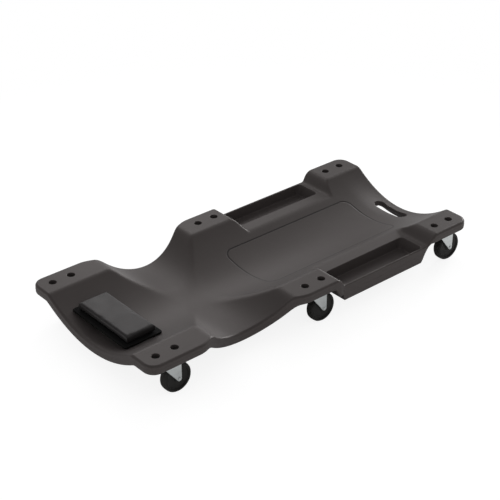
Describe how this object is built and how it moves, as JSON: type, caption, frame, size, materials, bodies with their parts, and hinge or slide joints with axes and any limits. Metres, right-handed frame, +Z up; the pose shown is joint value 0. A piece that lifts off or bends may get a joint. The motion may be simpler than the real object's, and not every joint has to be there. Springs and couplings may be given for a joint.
{
  "type": "mechanic creeper",
  "caption": "Low moulded creeper with a body trough, arm scoops, side tool trays, a handle slot, a padded headrest and swivel plate casters.",
  "frame": {"origin": "on the floor under the middle of the deck, where the wheels stand", "axes": "+X from the head end to the foot end, +Y to the left of someone lying on it, +Z up"},
  "size_m": [1.016, 0.472, 0.114],
  "materials": {
    "deck": "satin charcoal moulded polyethylene with a fine grain",
    "headrest_board": "black board",
    "headrest_cushion": "black vinyl cover over foam",
    "headrest_screw": "zinc plated",
    "caster_plate": "zinc plated pressing",
    "caster_bolt": "black oxide",
    "kingpin": "zinc plated",
    "ball_race": "zinc plated pressing",
    "fork": "bright zinc plated pressing",
    "axle_rivet": "zinc plated",
    "axle_sleeve": "plain steel tube",
    "wheel": "black moulded wheel, one piece with its tread"
  },
  "bodies": {
    "deck": {"deck": "deck", "headrest_board": "headrest_board", "headrest_cushion": "headrest_cushion", "headrest_screw_left": "headrest_screw", "headrest_screw_right": "headrest_screw", "caster_plate_head_left": "caster_plate", "kingpin_head_left": "kingpin", "ball_race_head_left": "ball_race", "caster_bolt_head_left_1": "caster_bolt", "caster_bolt_head_left_2": "caster_bolt", "caster_plate_head_right": "caster_plate", "kingpin_head_right": "kingpin", "ball_race_head_right": "ball_race", "caster_bolt_head_right_1": "caster_bolt", "caster_bolt_head_right_2": "caster_bolt", "caster_plate_mid_left": "caster_plate", "kingpin_mid_left": "kingpin", "ball_race_mid_left": "ball_race", "caster_bolt_mid_left_1": "caster_bolt", "caster_bolt_mid_left_2": "caster_bolt", "caster_plate_mid_right": "caster_plate", "kingpin_mid_right": "kingpin", "ball_race_mid_right": "ball_race", "caster_bolt_mid_right_1": "caster_bolt", "caster_bolt_mid_right_2": "caster_bolt", "caster_plate_foot_left": "caster_plate", "kingpin_foot_left": "kingpin", "ball_race_foot_left": "ball_race", "caster_bolt_foot_left_1": "caster_bolt", "caster_bolt_foot_left_2": "caster_bolt", "caster_plate_foot_right": "caster_plate", "kingpin_foot_right": "kingpin", "ball_race_foot_right": "ball_race", "caster_bolt_foot_right_1": "caster_bolt", "caster_bolt_foot_right_2": "caster_bolt"},
    "fork_head_left": {"fork_head_left": "fork", "axle_rivet_head_left": "axle_rivet", "axle_sleeve_head_left": "axle_sleeve"},
    "wheel_head_left": {"wheel_head_left": "wheel"},
    "fork_head_right": {"fork_head_right": "fork", "axle_rivet_head_right": "axle_rivet", "axle_sleeve_head_right": "axle_sleeve"},
    "wheel_head_right": {"wheel_head_right": "wheel"},
    "fork_mid_left": {"fork_mid_left": "fork", "axle_rivet_mid_left": "axle_rivet", "axle_sleeve_mid_left": "axle_sleeve"},
    "wheel_mid_left": {"wheel_mid_left": "wheel"},
    "fork_mid_right": {"fork_mid_right": "fork", "axle_rivet_mid_right": "axle_rivet", "axle_sleeve_mid_right": "axle_sleeve"},
    "wheel_mid_right": {"wheel_mid_right": "wheel"},
    "fork_foot_left": {"fork_foot_left": "fork", "axle_rivet_foot_left": "axle_rivet", "axle_sleeve_foot_left": "axle_sleeve"},
    "wheel_foot_left": {"wheel_foot_left": "wheel"},
    "fork_foot_right": {"fork_foot_right": "fork", "axle_rivet_foot_right": "axle_rivet", "axle_sleeve_foot_right": "axle_sleeve"},
    "wheel_foot_right": {"wheel_foot_right": "wheel"}
  },
  "joints": [
    {"name": "swivel_head_left", "type": "hinge", "parent": "deck", "child": "fork_head_left", "pos_m": [-0.443, 0.2, 0.0805], "axis": [0, 0, 1], "continuous": true},
    {"name": "roll_head_left", "type": "hinge", "parent": "fork_head_left", "child": "wheel_head_left", "pos_m": [-0.417, 0.2, 0.0375], "axis": [0, 1, 0], "continuous": true},
    {"name": "swivel_head_right", "type": "hinge", "parent": "deck", "child": "fork_head_right", "pos_m": [-0.443, -0.2, 0.0805], "axis": [0, 0, 1], "continuous": true},
    {"name": "roll_head_right", "type": "hinge", "parent": "fork_head_right", "child": "wheel_head_right", "pos_m": [-0.417, -0.2, 0.0375], "axis": [0, 1, 0], "continuous": true},
    {"name": "swivel_mid_left", "type": "hinge", "parent": "deck", "child": "fork_mid_left", "pos_m": [-0.004, 0.2, 0.0805], "axis": [0, 0, 1], "continuous": true},
    {"name": "roll_mid_left", "type": "hinge", "parent": "fork_mid_left", "child": "wheel_mid_left", "pos_m": [0.022, 0.2, 0.0375], "axis": [0, 1, 0], "continuous": true},
    {"name": "swivel_mid_right", "type": "hinge", "parent": "deck", "child": "fork_mid_right", "pos_m": [-0.004, -0.2, 0.0805], "axis": [0, 0, 1], "continuous": true},
    {"name": "roll_mid_right", "type": "hinge", "parent": "fork_mid_right", "child": "wheel_mid_right", "pos_m": [0.022, -0.2, 0.0375], "axis": [0, 1, 0], "continuous": true},
    {"name": "swivel_foot_left", "type": "hinge", "parent": "deck", "child": "fork_foot_left", "pos_m": [0.441, 0.2, 0.0805], "axis": [0, 0, 1], "continuous": true},
    {"name": "roll_foot_left", "type": "hinge", "parent": "fork_foot_left", "child": "wheel_foot_left", "pos_m": [0.467, 0.2, 0.0375], "axis": [0, 1, 0], "continuous": true},
    {"name": "swivel_foot_right", "type": "hinge", "parent": "deck", "child": "fork_foot_right", "pos_m": [0.441, -0.2, 0.0805], "axis": [0, 0, 1], "continuous": true},
    {"name": "roll_foot_right", "type": "hinge", "parent": "fork_foot_right", "child": "wheel_foot_right", "pos_m": [0.467, -0.2, 0.0375], "axis": [0, 1, 0], "continuous": true}
  ]
}
